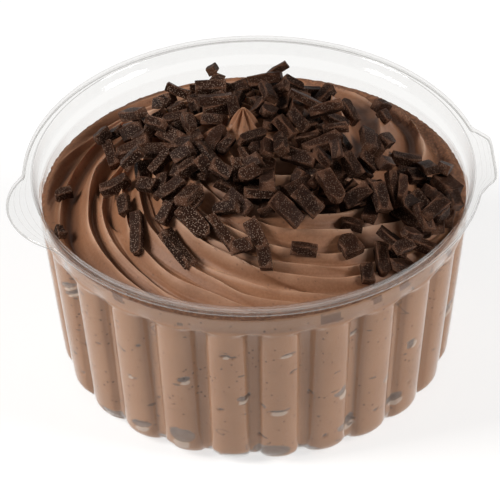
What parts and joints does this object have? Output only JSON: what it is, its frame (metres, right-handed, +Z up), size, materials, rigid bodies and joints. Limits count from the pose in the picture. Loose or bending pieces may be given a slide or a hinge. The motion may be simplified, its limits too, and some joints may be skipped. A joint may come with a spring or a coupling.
{
  "type": "chocolate mousse in a fluted cup",
  "caption": "Piped swirl of chocolate mousse heaped with dark chocolate sticks, in a clear round fluted deli cup with lid tabs.",
  "frame": {"origin": "centre of the cup's flat base, on the surface it stands on", "axes": "+Z up along the cup's axis; -Y is the front, the side the round lid tab has on its left; +X points to the square lid tab"},
  "size_m": [0.1073, 0.1008, 0.0652],
  "materials": {
    "clear_plastic": "clear glossy formed sheet",
    "mousse": "soft satin whipped mousse with fine air holes",
    "dark_chocolate": "grainy dark chocolate with a frost of fine bright specks"
  },
  "bodies": {
    "root": {"cup": "clear_plastic", "mousse": "mousse", "chocolate_heap": "dark_chocolate"}
  },
  "joints": []
}
